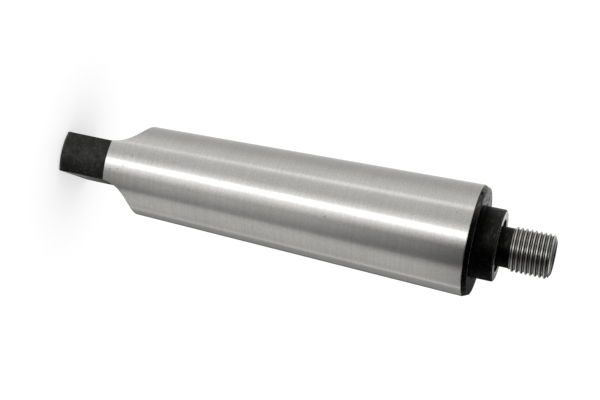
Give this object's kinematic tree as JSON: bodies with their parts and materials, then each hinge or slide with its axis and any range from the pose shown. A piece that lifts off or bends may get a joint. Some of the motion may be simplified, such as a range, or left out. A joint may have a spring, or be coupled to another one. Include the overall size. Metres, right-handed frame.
{
  "type": "morse taper arbor",
  "caption": "Threaded Morse taper arbor: blackened tang with two flats, ground taper shank, collar with a flat seat, and a threaded nose that a chuck screws onto",
  "frame": {"origin": "centre of the tang's flat end, which the arbor stands on", "axes": "+Z along the arbor's axis from the tang to the threaded nose, X square to the tang's two flats"},
  "size_m": [0.0316, 0.0316, 0.1437],
  "materials": {
    "ground_steel": "ground bright on the taper, cut bright on the thread, blackened on the tang and collar"
  },
  "bodies": {
    "root": {"arbor": "ground_steel"}
  },
  "joints": []
}
